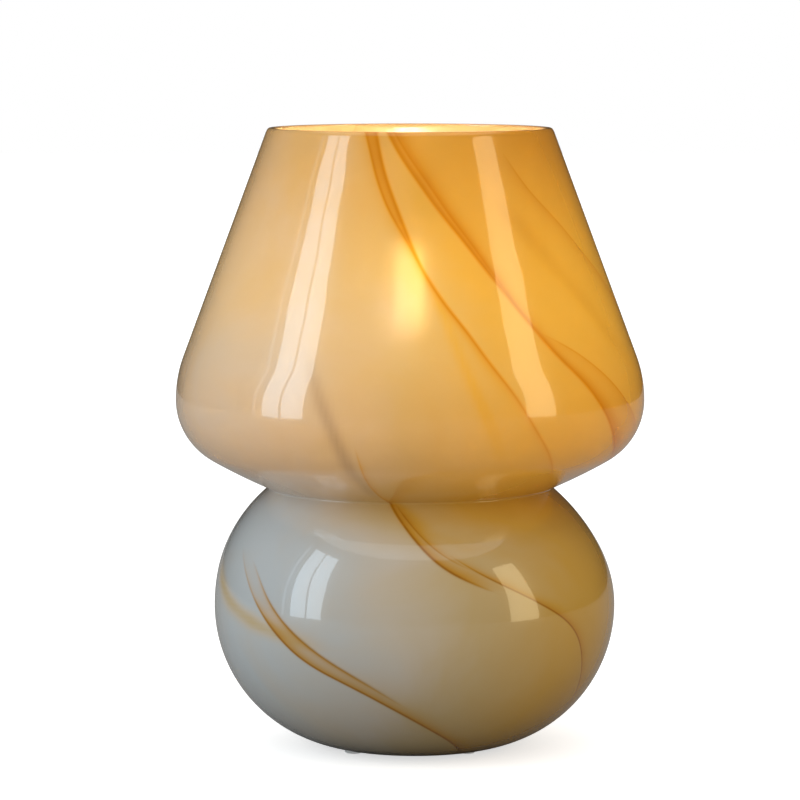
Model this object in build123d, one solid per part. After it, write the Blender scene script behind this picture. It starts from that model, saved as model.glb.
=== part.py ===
from build123d import *
import os
from math import acos, asin, atan2, cos, degrees, hypot, radians, sin, sqrt

# Mushroom table lamp: one blown glass body that is shade, waist and base in one piece, open at the
# top. Inside, a pressed steel disc rests on the thick glass of the waist and carries a small-screw
# bulb holder with a candle-shaped LED filament bulb. Millimetres and degrees. The origin is on the
# table under the middle of the lamp, +Z is up, the front is -Y and the cable leaves at the back, +Y.

# ---------------------------------------------------------------- glass, outside
waist_radius = 54.3  # sharp crease where the two blown bubbles meet
waist_level = 100.0  # height of that crease above the table
belly_radius = 90.0  # widest ring of the shade
belly_rise = 33.9  # from the waist up to that ring
mouth_radius = 54.5  # outer edge of the rim
mouth_rise = 137.8  # from the waist up to the rim
upper_belly_bend = 47.4  # roundness between the belly and the straight cone
lower_belly_bend = 25.9  # tighter roundness under the belly
lower_belly_turn = 60.0  # how far that roundness turns before the underside runs on to the waist
base_radius = 77.2  # widest ring of the base
base_level = 54.5  # height of that ring
base_side_bend = 53.4  # roundness just above it
base_side_turn = 27.1  # how far that roundness turns before the shoulder runs on to the waist
foot_radius = 34.6  # where the round side ends in the flat foot
crease_round = 0.6  # small hollow in the crease
kick_rise = 2.5  # push-up in the middle of the underside

# ---------------------------------------------------------------- glass, inside
wall = 2.6
waist_wall = 5.2  # the glass gathers where the waist is pinched
waist_blend = 2.5  # easing between that bead and the wall
floor_wall = 6.0
lip_share = 0.4  # each edge of the rim is fire-polished round by this share of the wall

# ---------------------------------------------------------------- feet and cable inlet
pad_radius = 3.2
pad_height = 1.0
pad_margin = 0.8  # flat glass left on each side of a pad
pad_count = 4
pad_turn = 45.0  # the pads stand between front, back and sides
pad_edge_round = 0.4
cable_level = 20.0  # height of the inlet in the back of the base
inlet_hole_radius = 5.0
grommet_clearance = 0.2
grommet_bore_radius = 3.1  # takes a 6 mm round cable
grommet_flange_radius = 7.6
grommet_flange_height = 1.6
grommet_round = 0.6

# ---------------------------------------------------------------- carrier disc and its edging
seat_overlap = 1.8  # the edging reaches this far over the waist, and still passes the mouth
edging_depth = 3.6
edging_lip = 1.0
edging_round = 0.8
seat_gap = 0.2  # between the edging and the glass that it rests on
disc_thickness = 1.2
dish_depth = 4.0
dish_radius = 32.0  # flat middle of the disc
dish_step = 6.0  # width of the pressed step around it
press_round = 1.6
vent_radius = 3.0
vent_ring_radius = 24.0
vent_count = 6

# ---------------------------------------------------------------- threaded tube, nut and washer
tube_radius = 5.0
tube_bore_radius = 3.6
tube_tail = 2.0  # tube showing under the nut
thread_clearance = 0.05
hole_clearance = 0.1
nut_across_flats = 14.0
nut_height = 3.5
nut_chamfer = 0.7
washer_radius = 9.0
washer_thickness = 0.8
washer_teeth = 12
washer_notch_width = 2.0
washer_notch_depth = 2.0

# ---------------------------------------------------------------- bulb holder
collar_radius = 8.5
collar_height = 5.0
holder_radius = 13.5
holder_wall = 1.5
cap_height = 18.0
cap_shoulder_height = 12.0
cap_floor = 2.5  # thickness above the collar
shelf_height = 10.0  # where the insulating core sits
shelf_width = 2.4
joint_line = 0.3  # fine line between cap and skirt
spigot_length = 5.0
spigot_clearance = 0.1
core_clearance = 0.2
core_height = 10.5
leaf_room = 1.5  # between the core and the bulb's contact
holder_lip_radius = 9.4
skirt_taper = 0.6
grub_radius = 1.5
grub_length = 2.8

# ---------------------------------------------------------------- contacts and terminals
strip_thickness = 0.4
strip_width = 4.0
strip_place = 5.7  # how far each upright strip stands from the middle
slot_clearance = 0.15
block_length = 3.0
block_width = 5.0
block_height = 6.0
pocket_clearance = 0.3
screw_radius = 1.3
screw_head_radius = 1.9
screw_head_height = 0.8
screw_slot_width = 0.5
wire_hole_radius = 0.8
shell_wall = 0.4
shell_top_gap = 2.0  # from the shell's upper edge to the holder's lip
shell_flange = 1.4
leaf_gap = 0.3

# ---------------------------------------------------------------- bulb, a C35 candle on an E14 cap
bulb_length = 98.0
bulb_radius = 17.5
bulge_height = 48.0  # widest ring above the contact
bulb_wall = 0.8
neck_radius = 6.1
neck_depth = 4.0  # glass held inside the cap
cap_screw_radius = 6.9
cap_clearance = 0.35
cap_wall = 0.35
cap_bottom = 5.0
cap_top = 23.0
flare_radius = 8.6
flare_height = 2.2
contact_radius = 2.3
contact_thickness = 1.4
insulator_small_radius = 3.0
cap_hem = 1.9  # the cap's lower edge is turned in over the insulator by this
driver_rise = 1.5  # from the insulator up to the circuit board
tip_radius = 2.2
tip_taper = 24.0  # half angle of the flame-shaped point
stem_foot_radius = 4.6
stem_radius = 1.7
stem_height = 15.0
filament_length = 30.0
filament_radius = 0.9
filament_ring_radius = 4.6
filament_count = 4
filament_turn = 45.0
filament_middle = 52.0  # middle of the filaments above the contact
wire_radius = 0.25
lead_gap = 1.2  # bare wire between a filament's end and the ring that feeds it
board_clearance = 0.25  # between its long edges and the inside of the cap
board_thickness = 0.8
board_height = 11.0
capacitor_radius = 2.1
capacitor_height = 6.5
chip_side = 3.2
chip_height = 1.4

# ---------------------------------------------------------------- helpers


def turned(section):
    """Solid of revolution about Z of a section drawn with x as radius and y as height."""
    return revolve(Plane.XZ * section, Axis.Z, 360)


def ring(inner, outer, low, high):
    """Plain ring about Z between two heights."""
    rim = Pos(0, 0, low) * extrude(Circle(outer) - Circle(inner), high - low)
    return rim


def rod(radius, start, end):
    """Round bar from one point to another."""
    path = Line(start, end)
    return sweep(Plane(origin=path @ 0, z_dir=path % 0) * Circle(radius), path)


def nearest_to(shape, point, count):
    """The corners of a flat outline that lie nearest to a point."""
    return shape.vertices().sort_by_distance(point)[:count]


# ---------------------------------------------------------------- glass body


mouth_level = waist_level + mouth_rise
belly_level = waist_level + belly_rise
foot_level = pad_height
waist = Vector(waist_radius, waist_level)


def lean_of_cone():
    """Lean from upright of the line from the rim that just touches the roundness above the belly."""
    across = mouth_radius - (belly_radius - upper_belly_bend)
    rise = mouth_level - belly_level
    return degrees(atan2(rise, across) - acos(upper_belly_bend / hypot(across, rise)))


def shade_side():
    """Outside of the shade as edges that run down from the rim to the waist."""
    belly = (belly_radius, belly_level)
    upper = JernArc(belly, (0, 1), upper_belly_bend, lean_of_cone())
    cone = Line((mouth_radius, mouth_level), upper @ 1)
    swell = TangentArc(cone @ 1, belly, tangent=cone % 1)
    lower = JernArc(belly, (0, -1), lower_belly_bend, -lower_belly_turn)
    underside = TangentArc(lower @ 1, waist, tangent=lower % 1)
    return [cone, swell, lower, underside]


def base_side():
    """Outside of the base as edges that run down from the waist to the foot."""
    equator = (base_radius, base_level)
    upper = JernArc(equator, (0, 1), base_side_bend, base_side_turn)
    shoulder = TangentArc(upper @ 1, waist, tangent=upper % 1)
    lower = TangentArc(equator, (foot_radius, foot_level), tangent=(0, -1))
    return [shoulder.reversed(), upper.reversed(), lower]


def moved_in(edge, depth):
    """A line or arc that runs down the outside, moved by depth to its right, towards the axis."""
    starts = [edge @ end + depth * (edge % end).rotate(Axis.Z, -90) for end in (0, 1)]
    if edge.geom_type == GeomType.LINE:
        return Line(*starts)
    return TangentArc(*starts, tangent=edge % 0)


def to_axis(point, direction):
    """Straight line from a point on until it meets the axis of the lamp."""
    return Line(point, point - direction * (point.X / direction.X))


def shade_hollow():
    """Half section of the air in the shade, carried on past the rim and down to the axis."""
    sides = [moved_in(edge, wall) for edge in shade_side()]
    cone = sides[0]
    above = cone @ 0 - (cone % 0) * (2 * wall)
    rim = Line((0, above.Y), above)
    longer = Line(above, cone @ 0)
    funnel = to_axis(sides[-1] @ 1, sides[-1] % 1)
    return make_face([rim, longer, *sides, funnel, Line(funnel @ 1, rim @ 0)])


def base_hollow():
    """Half section of the air in the base, carried up to the axis and cut flat above the floor."""
    sides = [moved_in(edge, wall) for edge in base_side()]
    crown = to_axis(sides[0] @ 0, sides[0] % 0)
    keel = to_axis(sides[-1] @ 1, sides[-1] % 1)
    air = make_face([crown, *sides, keel, Line(keel @ 1, crown @ 1)])
    floor = Rectangle(4 * base_radius, foot_level + floor_wall, align=(Align.CENTER, Align.MIN))
    return air - floor


rim_edge = Line((0, mouth_level), (mouth_radius, mouth_level))
foot_edge = Line((foot_radius, foot_level), (0, foot_level))
glass_axis = Line(foot_edge @ 1, rim_edge @ 0)
blank = make_face([rim_edge, *shade_side(), *base_side(), foot_edge, glass_axis])
blank = fillet(nearest_to(blank, waist, 1), crease_round)

kick_radius = foot_radius - 2 * (pad_radius + pad_margin)
pad_ring = foot_radius - pad_radius - pad_margin
kick_arc = TangentArc((0, foot_level + kick_rise), (kick_radius, foot_level), tangent=(1, 0))
kick_foot = Line(kick_arc @ 1, (0, foot_level))
kick = make_face([kick_arc, kick_foot, Line(kick_foot @ 1, kick_arc @ 0)])

hollow = shade_hollow() + base_hollow()
hollow -= Pos(waist.X, waist.Y) * Circle(waist_wall)
hollow = fillet(nearest_to(hollow, waist, 2), waist_blend)

glass_section = blank - hollow - kick
mouth_corners = glass_section.vertices().sort_by(Axis.Y)[-2:]
mouth_bore_radius = mouth_corners.sort_by(Axis.X)[0].X
glass_section = fillet(mouth_corners, lip_share * wall)

base_lower_bend = base_side()[-1].radius
inlet_turn = asin((base_level - cable_level) / base_lower_bend)
inlet_y = base_radius - base_lower_bend * (1 - cos(inlet_turn))
inlet = Plane(
    origin=(0, inlet_y, cable_level), x_dir=(1, 0, 0), z_dir=(0, cos(inlet_turn), -sin(inlet_turn))
)
drill_length = 4 * wall
glass_body = turned(glass_section) - inlet * Cylinder(inlet_hole_radius, drill_length)

# ---------------------------------------------------------------- feet


def foot_pad():
    """Clear stick-on bumper, with its lower edge eased."""
    pad = Cylinder(pad_radius, pad_height, align=(Align.CENTER, Align.CENTER, Align.MIN))
    return fillet(pad.edges().group_by(Axis.Z)[0], pad_edge_round)


foot_pads = [place * foot_pad() for place in PolarLocations(pad_ring, pad_count, pad_turn)]

# ---------------------------------------------------------------- cable inlet


def sag(radius, bend):
    """How far a ball of that bend falls away from its top at that radius."""
    return bend - sqrt(bend**2 - radius**2)


def cable_grommet():
    """Rubber bush: two flanges with the wall of the glass between them, and a bore for the cable."""
    neck = inlet_hole_radius - grommet_clearance
    outer_seat = -sag(inlet_hole_radius, inlet_y / cos(inlet_turn)) / 2
    inner_seat = -wall - sag(grommet_flange_radius, base_lower_bend - wall) - grommet_clearance / 2
    flange = Rectangle(
        grommet_flange_radius - grommet_bore_radius,
        grommet_flange_height,
        align=(Align.MIN, Align.MIN),
    )
    outer_flange = Pos(grommet_bore_radius, outer_seat) * flange
    inner_flange = Pos(grommet_bore_radius, inner_seat - grommet_flange_height) * flange
    neck_size = (neck - grommet_bore_radius, outer_seat - inner_seat)
    middle = Pos(grommet_bore_radius, inner_seat) * Rectangle(*neck_size, align=(Align.MIN, Align.MIN))
    bush = turned(outer_flange + middle + inner_flange)
    bush = fillet(bush.edges().group_by(Axis.Z)[-1].sort_by(SortBy.RADIUS)[-1:], grommet_round)
    return inlet * bush


# ---------------------------------------------------------------- carrier disc in the waist

edging_radius = waist.X - waist_wall + seat_overlap
disc_radius = edging_radius - edging_lip - thread_clearance
reach_to_crease = waist_wall + seat_gap + edging_round
side_to_crease = waist.X - edging_radius + edging_round
edging_low = waist.Y + sqrt(reach_to_crease**2 - side_to_crease**2) - edging_round
rim_low = edging_low + edging_lip + thread_clearance
plate_low = rim_low - dish_depth
plate_top = plate_low + disc_thickness  # the holder stands here
edging_high = rim_low + disc_thickness + thread_clearance + edging_lip


def pressed_line(lift):
    """Side view of the dished sheet, raised by lift."""
    return FilletPolyline(
        (tube_radius + hole_clearance, plate_low + lift),
        (dish_radius, plate_low + lift),
        (dish_radius + dish_step, rim_low + lift),
        (disc_radius, rim_low + lift),
        radius=press_round,
    )


def carrier_disc():
    """Dished steel disc with a middle hole for the threaded tube and a ring of vents."""
    lower = pressed_line(0)
    upper = pressed_line(disc_thickness)
    section = make_face([lower, upper, Line(lower @ 0, upper @ 0), Line(lower @ 1, upper @ 1)])
    vent = Pos(0, 0, plate_low) * Cylinder(vent_radius, 3 * disc_thickness)
    return turned(section) - PolarLocations(vent_ring_radius, vent_count) * vent


def edge_seal():
    """Silicone channel that wraps the disc's edge and cushions it on the glass."""
    height = edging_high - edging_low
    section = Pos(edging_radius, edging_low) * Rectangle(
        edging_depth, height, align=(Align.MAX, Align.MIN)
    )
    section = fillet(section.vertices().group_by(Axis.X)[-1], edging_round)
    groove = Pos(disc_radius + thread_clearance, rim_low - thread_clearance) * Rectangle(
        edging_depth, disc_thickness + 2 * thread_clearance, align=(Align.MAX, Align.MIN)
    )
    return turned(section - groove)


# ---------------------------------------------------------------- threaded tube, nut and washer

washer_low = plate_low - washer_thickness
nut_low = washer_low - nut_height
tube_low = nut_low - tube_tail
tube_high = plate_top + collar_height + cap_floor


def lock_washer():
    """Shakeproof washer with square notches around its edge."""
    washer = ring(tube_radius + hole_clearance, washer_radius, washer_low, plate_low)
    notch = Box(2 * washer_notch_depth, washer_notch_width, 3 * washer_thickness)
    return washer - PolarLocations(washer_radius, washer_teeth) * (Pos(0, 0, washer_low) * notch)


def lock_nut():
    """Thin hexagon nut with both faces chamfered."""
    hexagon = RegularPolygon(nut_across_flats / 2, 6, major_radius=False)
    blank = extrude(hexagon - Circle(tube_radius + thread_clearance), nut_height)
    corner_radius = nut_across_flats / 2 / cos(radians(30))
    turned_blank = Cylinder(corner_radius, nut_height, align=(Align.CENTER, Align.CENTER, Align.MIN))
    turned_blank = chamfer(turned_blank.edges().filter_by(GeomType.CIRCLE), nut_chamfer / 2, nut_chamfer)
    return Pos(0, 0, nut_low) * (blank & turned_blank)


# ---------------------------------------------------------------- bulb holder

core_top = shelf_height + core_height
contact_height = core_top + leaf_room  # bulb's contact above the disc, screwed home
holder_height = contact_height + cap_top  # the holder's lip is level with the bulb's cap
spigot_radius = holder_radius - holder_wall - spigot_clearance
inside_radius = spigot_radius - holder_wall
core_radius = inside_radius - core_clearance


def holder_cap():
    """Lower half of the holder: threaded collar, round shoulder and a shelf for the core."""
    entry = tube_radius + thread_clearance
    bore = holder_radius - holder_wall
    lower_edge = Line((entry, 0), (collar_radius, 0))
    collar = Line(lower_edge @ 1, (collar_radius, collar_height))
    side_foot = (holder_radius, cap_shoulder_height)
    shoulder = TangentArc(side_foot, collar @ 1, tangent=(0, -1))
    side = Line(side_foot, (holder_radius, cap_height))
    cavity = Polyline(
        side @ 1,
        (bore, cap_height),
        (bore, shelf_height),
        (bore - shelf_width, shelf_height),
        (bore - shelf_width, collar_height + cap_floor),
        (entry, collar_height + cap_floor),
        (entry, 0),
    )
    cap = turned(make_face([lower_edge, collar, shoulder, side, cavity]))
    upright = (Align.CENTER, Align.CENTER, Align.MIN)
    drill = Cylinder(grub_radius + thread_clearance, 2 * collar_radius, align=upright)
    cap -= Pos(0, 0, collar_height / 2) * Rot(0, 90, 0) * drill
    return Pos(0, 0, plate_top) * cap


def holder_skirt():
    """Upper half: smooth tapering tube with a spigot that screws into the cap."""
    low = cap_height + joint_line
    outline = Polyline(
        (inside_radius, cap_height - spigot_length),
        (spigot_radius, cap_height - spigot_length),
        (spigot_radius, low),
        (holder_radius, low),
        (holder_radius - skirt_taper, holder_height),
        (holder_lip_radius, holder_height),
        (holder_lip_radius, holder_height - holder_wall),
        (inside_radius, holder_height - holder_wall),
        close=True,
    )
    section = make_face(outline)
    section = fillet(section.vertices().group_by(Axis.Y)[-1], holder_wall / 2.5)
    return Pos(0, 0, plate_top) * turned(section)


def grub_screw():
    """Headless screw that locks the holder on the threaded tube, with its driver slot outside."""
    start = tube_radius + 2 * thread_clearance
    screw = Cylinder(grub_radius, grub_length, align=(Align.CENTER, Align.CENTER, Align.MIN))
    slot = Pos(0, 0, grub_length) * Box(3 * grub_radius, grub_radius / 3, grub_radius)
    return Pos(start, 0, plate_top + collar_height / 2) * Rot(0, 90, 0) * (screw - slot)


block_inner = strip_place + strip_thickness / 2 + thread_clearance
pocket_top = shelf_height + block_height + pocket_clearance
block_middle = block_inner + block_length / 2


def terminal_block(side):
    """Brass block in its pocket: an upright hole for the wire and a cross hole for the screw."""
    block = Box(block_length, block_width, block_height)
    block -= Cylinder(wire_hole_radius, 2 * block_height)
    block -= Rot(0, 90, 0) * Cylinder(screw_radius + thread_clearance, 2 * block_length)
    return Pos(side * block_middle, 0, plate_top + shelf_height + block_height / 2) * block


def terminal_screw(side):
    """Cheese-head screw that pinches the wire in the block."""
    shank_length = block_length / 2 - wire_hole_radius
    head_start = block_inner + block_length + thread_clearance
    upright = (Align.CENTER, Align.CENTER, Align.MIN)
    shank = Pos(0, 0, -shank_length) * Cylinder(screw_radius, shank_length, align=upright)
    head = Cylinder(screw_head_radius, screw_head_height, align=upright)
    slot = Box(3 * screw_head_radius, screw_slot_width, screw_head_height)
    screw = shank + head - Pos(0, 0, screw_head_height) * slot
    height = plate_top + shelf_height + block_height / 2
    turn = Rot(0, 90, 0) if side > 0 else Rot(0, -90, 0)
    return Pos(side * head_start, 0, height) * turn * screw


def holder_core():
    """Moulded insulator: a puck with two open pockets, a slot for each strip and a recess on top."""
    puck = Cylinder(
        core_radius, core_top - shelf_height, align=(Align.CENTER, Align.CENTER, Align.MIN)
    )
    puck = Pos(0, 0, shelf_height) * puck
    pocket_width = block_width + 2 * pocket_clearance
    pocket_in = strip_place - strip_thickness / 2 - slot_clearance
    slot_size = (strip_thickness + 2 * slot_clearance, strip_width + 2 * slot_clearance)
    for side in (-1, 1):
        pocket = Box(
            core_radius, pocket_width, pocket_top - shelf_height, align=(Align.MIN, Align.CENTER, Align.MIN)
        )
        facing = Rot(0, 0, 0) if side > 0 else Rot(0, 0, 180)
        puck -= facing * Pos(pocket_in, 0, shelf_height) * pocket
        slot = Box(*slot_size, core_top, align=(Align.CENTER, Align.CENTER, Align.MIN))
        puck -= facing * Pos(strip_place, 0, shelf_height) * slot
    recess_length = cap_screw_radius + cap_clearance + shell_wall + slot_clearance - strip_place
    recess = Box(
        recess_length,
        slot_size[1],
        strip_thickness + slot_clearance,
        align=(Align.MAX, Align.CENTER, Align.MAX),
    )
    puck -= Pos(-strip_place, 0, core_top) * recess
    return Pos(0, 0, plate_top) * puck


def bent_strip(points):
    """Spring strip of one thickness, bent along points given as distance out and height."""
    centre_line = Polyline(*points)
    strip = offset(centre_line, strip_thickness / 2, kind=Kind.INTERSECTION)
    face = Plane.XZ * make_face(strip)
    return extrude(face, strip_width / 2, both=True)


def centre_contact():
    """Leaf that stands up from its terminal and reaches under the bulb's contact."""
    foot = shelf_height + strip_thickness
    leaf_level = contact_height - leaf_gap - strip_thickness / 2
    knee = core_top + strip_thickness
    leaf = bent_strip(
        [
            (strip_place, foot),
            (strip_place, knee),
            (strip_place / 2, leaf_level),
            (-contact_radius, leaf_level),
        ]
    )
    return Pos(0, 0, plate_top) * leaf


def side_contact():
    """Strip from the other terminal to the flange of the threaded shell."""
    foot = shelf_height + strip_thickness
    top = core_top - strip_thickness / 2
    flange_out = cap_screw_radius + cap_clearance + shell_wall / 2
    strip = bent_strip([(-strip_place, foot), (-strip_place, top), (-flange_out, top)])
    return Pos(0, 0, plate_top) * strip


def thread_shell():
    """Brass screw shell with an inward flange that lies on the core."""
    inner = cap_screw_radius + cap_clearance
    outer = inner + shell_wall
    top = holder_height - holder_wall - shell_top_gap
    tube = ring(inner, outer, core_top, top)
    flange = ring(inner - shell_flange + shell_wall, outer, core_top, core_top + shell_wall)
    return Pos(0, 0, plate_top) * (tube + flange)


# ---------------------------------------------------------------- bulb

contact_level = plate_top + contact_height


def flame_outline(inset):
    """Half section of the candle bulb: neck, swelling body and pointed tip, moved in by inset."""
    neck_low = cap_top - neck_depth
    neck = Line((neck_radius - inset, neck_low), (neck_radius - inset, cap_top - flare_height / 2))
    bulge = (bulb_radius - inset, bulge_height)
    swell = Spline(neck @ 1, bulge, tangents=((0.35, 1), (0, 1)), tangent_scalars=(0.8, 1.0))
    lean = radians(tip_taper)
    rounding = tip_radius - inset
    ball_level = bulb_length - tip_radius
    narrow = (rounding * cos(lean), ball_level + rounding * sin(lean))
    flame = Spline(bulge, narrow, tangents=((0, 1), (-sin(lean), cos(lean))))
    point = JernArc(narrow, (-sin(lean), cos(lean)), rounding, 90 - tip_taper)
    axis = Line(point @ 1, (0, neck_low))
    floor = Line((0, neck_low), neck @ 0)
    return make_face([neck, swell, flame, point, axis, floor])


def bulb_envelope():
    """Clear glass envelope, open where the neck sits in the cap."""
    return Pos(0, 0, contact_level) * turned(flame_outline(0) - flame_outline(bulb_wall))


def bulb_cap():
    """Thin metal screw cap with a flared top edge that takes the glass."""
    outline = Polyline(
        (cap_screw_radius - cap_hem, cap_bottom),
        (cap_screw_radius, cap_bottom),
        (cap_screw_radius, cap_top - flare_height),
        (flare_radius, cap_top),
        (flare_radius - cap_wall, cap_top),
        (cap_screw_radius - cap_wall, cap_top - flare_height),
        (cap_screw_radius - cap_wall, cap_bottom + cap_wall),
        (cap_screw_radius - cap_hem, cap_bottom + cap_wall),
        close=True,
    )
    return Pos(0, 0, contact_level) * turned(make_face(outline))


def bulb_insulator():
    """Black glass cone between the cap and the bottom contact."""
    outline = Polyline(
        (0, contact_thickness),
        (insulator_small_radius, contact_thickness),
        (cap_screw_radius - 2 * cap_wall, cap_bottom - thread_clearance),
        (0, cap_bottom - thread_clearance),
        close=True,
    )
    return Pos(0, 0, contact_level) * turned(make_face(outline))


def bulb_contact():
    """Solder button that the centre leaf presses on."""
    button = Cylinder(contact_radius, contact_thickness, align=(Align.CENTER, Align.CENTER, Align.MIN))
    button = fillet(button.edges().group_by(Axis.Z)[0], contact_thickness / 2)
    return Pos(0, 0, contact_level) * button


stem_low = cap_top - neck_depth
stem_high = stem_low + stem_height
filament_low = filament_middle - filament_length / 2
filament_high = filament_middle + filament_length / 2


def bulb_stem():
    """Glass mount: a flared foot drawn up into a rod."""
    foot = Line((0, stem_low), (stem_foot_radius, stem_low))
    drawn = Spline(
        foot @ 1,
        (stem_radius, stem_low + stem_height / 2),
        tangents=((-0.3, 1), (0, 1)),
    )
    side = Line(drawn @ 1, (stem_radius, stem_high))
    top = Line(side @ 1, (0, stem_high))
    section = make_face([foot, drawn, side, top, Line(top @ 1, foot @ 0)])
    return Pos(0, 0, contact_level) * turned(section)


def filament(place):
    """One coated LED stick with rounded ends."""
    stick = Cylinder(filament_radius, filament_length)
    stick = fillet(stick.edges().filter_by(GeomType.CIRCLE), filament_radius / 2)
    return place * Pos(0, 0, contact_level + filament_middle) * stick


def support_wires():
    """Middle wire and the two spiders that hold the filaments by their ends."""
    low = filament_low - lead_gap
    high = filament_high + lead_gap
    wires = rod(wire_radius, (0, 0, stem_high), (0, 0, high + wire_radius))
    for place in PolarLocations(filament_ring_radius, filament_count, filament_turn):
        out = place.position
        for level, end in ((low, filament_low), (high, filament_high)):
            wires += rod(wire_radius, (0, 0, level), (out.X, out.Y, level))
            wires += rod(wire_radius, (out.X, out.Y, level), (out.X, out.Y, end))
            wires += Pos(out.X, out.Y, level) * Sphere(wire_radius)
    return Pos(0, 0, contact_level) * wires


driver_low = cap_bottom + driver_rise


def driver_board():
    """Small circuit board that stands in the cap, held by its long edges."""
    width = 2 * (cap_screw_radius - cap_wall - board_clearance)
    board = Box(width, board_thickness, board_height, align=(Align.CENTER, Align.CENTER, Align.MIN))
    return Pos(0, 0, contact_level + driver_low) * board


def driver_parts():
    """Capacitor on one face of the board, rectifier and resistor chips on the other."""
    level = contact_level + driver_low + board_height / 2
    face = board_thickness / 2
    capacitor = Pos(0, face + capacitor_radius, level) * Cylinder(capacitor_radius, capacitor_height)
    chip = Box(chip_side, chip_height, chip_side)
    chip_y = -face - chip_height / 2
    rise = chip_side * 0.75
    return [capacitor] + [Pos(0, chip_y, level + side * rise) * chip for side in (-1, 1)]


# ---------------------------------------------------------------- write the nodes

ring_places = PolarLocations(filament_ring_radius, filament_count, filament_turn)
nodes = {
    "glass_body": glass_body,
    "foot_pads": foot_pads,
    "cable_grommet": cable_grommet(),
    "carrier_disc": carrier_disc(),
    "edge_seal": edge_seal(),
    "threaded_tube": ring(tube_bore_radius, tube_radius, tube_low, tube_high),
    "lock_washer": lock_washer(),
    "lock_nut": lock_nut(),
    "holder_cap": holder_cap(),
    "holder_skirt": holder_skirt(),
    "holder_core": holder_core(),
    "locking_screw": grub_screw(),
    "thread_shell": thread_shell(),
    "centre_contact": centre_contact(),
    "side_contact": side_contact(),
    "terminal_blocks": [terminal_block(side) for side in (-1, 1)],
    "terminal_screws": [terminal_screw(side) for side in (-1, 1)],
    "bulb_contact": bulb_contact(),
    "bulb_insulator": bulb_insulator(),
    "bulb_cap": bulb_cap(),
    "bulb_envelope": bulb_envelope(),
    "bulb_stem": bulb_stem(),
    "bulb_filaments": [filament(place) for place in ring_places],
    "bulb_wires": support_wires(),
    "driver_board": driver_board(),
    "driver_parts": driver_parts(),
}

os.makedirs("parts", exist_ok=True)
for name, piece in nodes.items():
    solids = Compound(piece) if isinstance(piece, list) else piece
    export_step(solids, f"parts/{name}.step")

print(f"cone leans {lean_of_cone():.2f}, underside bend {shade_side()[-1].radius:.1f}")
print(f"shoulder bend {base_side()[0].radius:.1f}, lower base bend {base_lower_bend:.1f}")
print(f"mouth bore radius {mouth_bore_radius:.2f}, waist bore radius {waist.X - waist_wall:.2f}")
print(f"edging radius {edging_radius:.2f}, disc stands at {plate_top:.2f}")
print(f"foot radius {foot_radius:.2f}, pads on radius {pad_ring:.2f}")
print(f"inlet at y {inlet_y:.2f}, {degrees(inlet_turn):.2f} degrees below level")
print(f"bulb contact at {contact_level:.2f}, bulb tip at {contact_level + bulb_length:.2f}")
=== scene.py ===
# %% [markdown]
# # A mushroom table lamp in blown opal glass
# The lamp in the photo is one blown piece: a shade like a mushroom cap with its mouth on top, a tight
# waist, and a round base, all in opal glass with amber glass drawn through it in long swirling streaks.
# A small lit bulb stands inside. The CAD gives every piece its place and size. This script gives the
# pieces their real surfaces: the glass as a new surface with its streaks, real threads, and a finish
# for every part. The scene is in metres, with +Z up, and the photographed side faces -Y.

# %% The frame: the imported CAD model
from math import acos, atan2, cos, degrees, hypot, pi, radians, sin

import bpy
import numpy as np
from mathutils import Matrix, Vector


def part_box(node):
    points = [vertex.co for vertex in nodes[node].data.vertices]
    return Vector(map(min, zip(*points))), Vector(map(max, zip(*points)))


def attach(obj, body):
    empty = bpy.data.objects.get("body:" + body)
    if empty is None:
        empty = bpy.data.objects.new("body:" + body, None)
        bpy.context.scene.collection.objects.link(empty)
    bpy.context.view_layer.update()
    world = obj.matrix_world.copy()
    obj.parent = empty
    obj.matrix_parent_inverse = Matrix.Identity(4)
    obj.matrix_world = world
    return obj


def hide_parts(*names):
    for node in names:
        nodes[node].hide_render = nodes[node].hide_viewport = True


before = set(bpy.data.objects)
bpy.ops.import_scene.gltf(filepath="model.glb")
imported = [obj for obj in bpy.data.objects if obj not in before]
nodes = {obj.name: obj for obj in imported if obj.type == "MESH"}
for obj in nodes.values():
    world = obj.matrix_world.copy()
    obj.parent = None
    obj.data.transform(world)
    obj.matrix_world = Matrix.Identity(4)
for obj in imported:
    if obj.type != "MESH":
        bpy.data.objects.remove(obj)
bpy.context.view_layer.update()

MM = 0.001

# %% [markdown]
# ## The outline of the glass
# A glassblower shapes the bubble against a mould and with jacks, so its outline is a chain of smooth
# curves: a nearly straight cone from the mouth down to a round belly, an underside that runs in to the
# waist, a shoulder that swells out again, and a long curve down to the foot. The outline could be drawn
# as a freehand spline, but arcs that touch each other without a kink are truer to a turned mould, and
# they are what the CAD uses. All sizes here are in millimetres.

# %% Sizes of the outline: radius and height of its corners, and the arcs between them
WAIST = np.array([54.3, 100.0])   # the crease between shade and base
BELLY = (90.0, 133.9)             # widest ring of the shade
MOUTH = (54.5, 237.8)             # outer edge of the rim
BASE = (77.2, 54.5)               # widest ring of the base
FOOT = (34.6, 1.0)                # outer edge of the flat foot, one pad's height above the table
SWELL = 47.4                      # radius of the arc from the cone into the belly
UNDER, UNDER_TURN = 25.9, 60.0    # radius and degrees of the arc below the belly
TOP_ARC, TOP_TURN = 53.4, 27.1    # radius and degrees of the arc above the base's widest ring


# %% Two kinds of arc
def arc(centre, radius, start, end, count):
    """Points on a circle: the centre plus the radius times (cosine, sine) of evenly spaced angles."""
    turn = np.radians(np.linspace(start, end, count))
    return np.c_[centre[0] + radius * np.cos(turn), centre[1] + radius * np.sin(turn)]


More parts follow.
